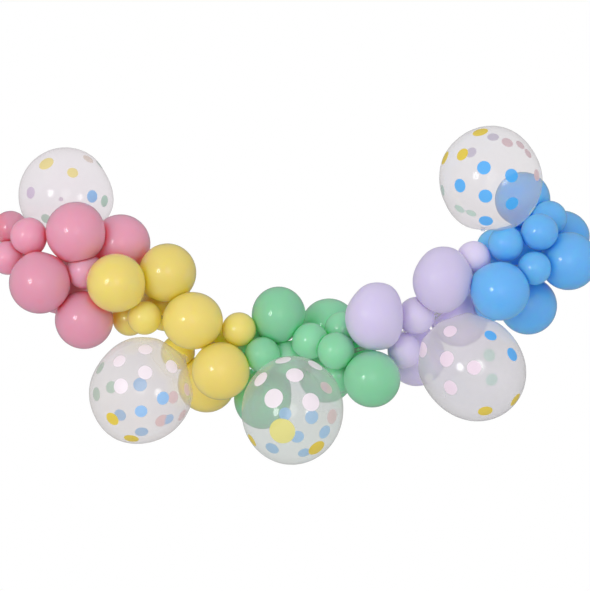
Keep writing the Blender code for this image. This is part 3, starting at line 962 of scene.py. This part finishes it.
# Film: its density all over, what clouds, its upper side and its rim add, and what its neck loses
EVEN_FILM, CLOUD_FILM, UPPER_FILM, RIM_FILM, NECK_LOSS = 0.80, 0.3, 0.35, 0.30, 0.6
UPPER_HEIGHTS, LOSS_HEIGHTS = (-0.3, 1.1), (1.00, 1.30)
PAINTED_BOUNCE_SHARE, RIM_SHARE = 0.8, 0.5  # how far it turns to its painted bounce light at a touch, and to its painted lighter rim tint
PRINT_EDGE, PRINT_WOBBLE = (0.0007, -0.0007), 0.0006  # no ink and full ink at a dot's edge, and how uneven
PLASTIC_TINTS = (0.62, 0.61, 0.58), (0.74, 0.73, 0.71)
PLASTIC_ALPHA = (0.34, 0.10)  # the least of it, and what clouds and scuffs each add
# Roughness: the least of it, and what clouds, grain or scuffs add
LATEX_ROUGHNESS, FILM_ROUGHNESS, PLASTIC_ROUGHNESS = (0.34, 0.08, 0.04), (0.09, 0.04), (0.14, 0.16)


def new_material(name, **constants):
    """A material with one Principled shader whose constant values are on its own sockets."""
    material = bpy.data.materials.new(name)
    material.use_nodes = True
    graph = Graph(material.node_tree)
    shader = material.node_tree.nodes["Principled BSDF"]
    for title, value in constants.items():
        shader.inputs[title.replace("_", " ")].default_value = value
    return material, graph, shader


def object_place(graph):
    return graph.add("ShaderNodeTexCoord", out="Object")


def noise(graph, place, scale, detail=2):
    return graph.add("ShaderNodeTexNoise", {"Vector": place, "Scale": scale, "Detail": detail}, "Fac")


def kept(graph, name, out="Fac"):
    """A value that the geometry tree stored on the piece."""
    return graph.add("ShaderNodeAttribute", out=out, attribute_name=name)


def bumped(graph, height, strength, distance):
    return graph.add("ShaderNodeBump", {"Height": height, "Strength": strength, "Distance": distance})


def latex_material(colour):
    """Matt-satin balloon latex, deeper where it is thick, with painted bounce light where two skins meet."""
    skin, thick, gloss = LATEX[colour]
    material, graph, shader = new_material(
        f"{colour}_latex_skin",
        IOR=1.50,
        Subsurface_Weight=1.0,
        Subsurface_Scale=0.07,
        Subsurface_Radius=[(channel / max(skin)) ** LATEX_BLEED for channel in skin],
        Coat_Weight=gloss,
        Coat_Roughness=0.06,
    )
    place = object_place(graph)
    along, tone, touch = (kept(graph, name) for name in ("along", "tone", "touch"))
    cloud = noise(graph, place, LATEX_CLOUDS, detail=3)
    grain = noise(graph, place, LATEX_GRAIN)
    neck = along.ramp(*NECK_HEIGHTS)
    crown = along.ramp(*CROWN_HEIGHTS)
    # painted bounce light: the touch term turns the skin to its saturated thick colour where two skins meet
    depth = neck * NECK_DEPTH + touch * PAINTED_BOUNCE_DEPTH + crown * CROWN_DEPTH
    depth = depth + (cloud - 0.5) * CLOUD_DEPTH + (grain - 0.5) * GRAIN_DEPTH
    depth = depth.sum("MAXIMUM", depth, 0)
    tint = graph.mix(depth, skin, thick)
    # the tone lightens or deepens each balloon, partly as painted light and shade
    shaded = graph.add("ShaderNodeHueSaturation", {"Color": tint, "Value": tone})
    graph.feed(shader, "Base Color", shaded)
    least, clouded, grained = LATEX_ROUGHNESS
    graph.feed(shader, "Roughness", least + cloud * clouded + grain * grained)
    graph.feed(shader, "Normal", bumped(graph, grain, strength=0.05, distance=0.0004))
    return material


def film_material():
    """Milky see-through film with a painted lighter rim and painted bounce light, printed with dots of a
    duller ink.
    """
    material, graph, shader = new_material("clear_film", IOR=2.2)
    place = object_place(graph)
    along, density, edge, touch = (kept(graph, name) for name in ("along", "tone", "dot_edge", "touch"))
    cloud = noise(graph, place, FILM_CLOUDS, detail=3)
    grain = noise(graph, place, FILM_GRAIN)
    facing = graph.add("ShaderNodeLayerWeight", {"Blend": 0.5}, "Facing")
    inside = (edge + (grain - 0.5) * PRINT_WOBBLE).ramp(*PRINT_EDGE)
    neck = along.ramp(*LOSS_HEIGHTS)
    upper = along.ramp(*UPPER_HEIGHTS)
    film = density * (EVEN_FILM + cloud * CLOUD_FILM + upper * UPPER_FILM) + (facing**4) * RIM_FILM
    film = film * (1 - neck * NECK_LOSS)
    # painted bounce light where the film touches a balloon, over a milky tint partly painted with its
    # neighbours' light
    milk = graph.mix(touch * PAINTED_BOUNCE_SHARE, kept(graph, "milk", "Color"), kept(graph, "glow", "Color"))
    # a painted lighter rim, painted light
    graph.feed(shader, "Base Color", graph.mix((facing**2) * RIM_SHARE, milk, PAINTED_RIM_LIGHT))
    graph.feed(shader, "Alpha", film)
    least, clouded = FILM_ROUGHNESS
    graph.feed(shader, "Roughness", least + cloud * clouded)
    skin = bumped(graph, grain, strength=0.008, distance=0.0004)
    graph.feed(shader, "Normal", skin)
    sockets = {"Base Color": kept(graph, "ink", "Color"), "Alpha": INK_COVER, "Normal": skin}
    ink = graph.add("ShaderNodeBsdfPrincipled", {**sockets, "Roughness": 0.3, "IOR": 1.35})
    clear = graph.wire(shader.outputs["BSDF"])
    printed = graph.add("ShaderNodeMixShader", {"Fac": inside, "Shader": clear, "Shader_001": ink})
    graph.feed(material.node_tree.nodes["Material Output"], "Surface", printed)
    return material


def plastic_material():
    """Clear plastic strip, slightly milky, with fine scuffs along it."""
    material, graph, shader = new_material("strip_plastic_skin", IOR=1.50)
    place = object_place(graph)
    cloud = noise(graph, place, PLASTIC_CLOUDS, detail=3)
    scuffs = noise(graph, place.times(PLASTIC_SCUFFS), 1)
    graph.feed(shader, "Base Color", graph.mix(cloud, *PLASTIC_TINTS))
    least, more = PLASTIC_ALPHA
    graph.feed(shader, "Alpha", least + cloud * more + scuffs * more)
    least, scuffed = PLASTIC_ROUGHNESS
    graph.feed(shader, "Roughness", least + scuffs * scuffed)
    graph.feed(shader, "Normal", bumped(graph, scuffs, strength=0.15, distance=0.0003))
    return material


# ---- studio


def round_light(name, distance, direction, width, radiance):
    """A soft light that the camera doesn't see, as bright as asked from wherever it is."""
    data = bpy.data.lights.new(name, "AREA")
    data.shape = "DISK"
    data.size = width
    data.energy = radiance * math.pi * (width**2 * (math.pi / 4))
    light = bpy.data.objects.new(name, data)
    light.location = VIEW_CENTRE + distance * Vector(direction)
    light.rotation_euler = (VIEW_CENTRE - light.location).to_track_quat("-Z", "Y").to_euler()
    light.visible_camera = False
    bpy.context.scene.collection.objects.link(light)


def build_world():
    """White round about for the camera, soft and brighter in front as light, and dim in reflections."""
    world = bpy.data.worlds.new("studio")
    world.use_nodes = True
    bpy.context.scene.world = world
    graph = Graph(world.node_tree)
    background = world.node_tree.nodes["Background"]
    way = graph.add("ShaderNodeTexCoord", out="Generated").unit()
    front = way.dot((0, -1, 0))
    top = way.dot((0, 0, 1))
    light = EVEN_SKY + front.sum("MAXIMUM", front, 0) * FRONT_SKY + top * TOP_SKY
    seen = graph.add("ShaderNodeLightPath", out="Is Camera Ray")
    light = light * (1 - seen.out("Is Glossy Ray") * REFLECTED_LOSS)
    graph.feed(background, "Color", (1, 1, 1, 1))
    graph.feed(background, "Strength", light + seen * (1 - light))


def build_studio():
    """The camera, the floor, the lights and how the picture is worked out."""
    scene = bpy.context.scene
    camera = bpy.data.objects.new("camera", bpy.data.cameras.new("camera"))
    camera.location = EYE
    camera.rotation_euler = (math.pi / 2, 0, 0)
    camera.data.lens = LENS
    camera.data.sensor_width = SENSOR
    camera.data.clip_end = FARTHEST_SEEN
    scene.collection.objects.link(camera)
    scene.camera = camera

    floor = bpy.data.objects.new("floor", bpy.data.meshes.new("floor"))
    floor.data.from_pydata([(x, y, FLOOR) for x, y in FLOOR_CORNERS], [], [(0, 1, 2, 3)])
    scene.collection.objects.link(floor)
    material, graph, shader = new_material("pale_floor", Roughness=0.7)
    cloud = noise(graph, object_place(graph), FLOOR_CLOUDS)
    graph.feed(shader, "Base Color", graph.mix(cloud, *FLOOR_TINTS))
    floor.data.materials.append(material)
    floor.visible_glossy = False  # so that the balloons' undersides keep their colour

    for name, numbers in LIGHTS.items():
        round_light(name, *numbers)
    build_world()
    scene.view_settings.view_transform = "Standard"
    scene.cycles.use_denoising = True
    scene.cycles.max_bounces = 16
    scene.cycles.diffuse_bounces = 8


# ---- the garland


def finish_piece(piece, node):
    """Hands a piece over: it rides on the garland's one body and stands for its solid."""
    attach(piece, "root")
    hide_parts(node)


def main():
    trees = {"balloon": balloon_tree(), "dots": dots_tree(), "strip": strip_tree()}
    skins = {colour: latex_material(colour) for colour in LATEX}
    skins["clear"] = film_material()
    for number, pear in enumerate(plan_pears()):
        piece = build_balloon(pear, number, trees, skins[pear.colour])
        # the thin film lets the light through to what is behind it
        piece.visible_shadow = piece.visible_diffuse = pear.size != "dotted"
        finish_piece(piece, pear.name)
    finish_piece(build_strip(trees["strip"], plastic_material()), "strip")
    build_studio()


main()
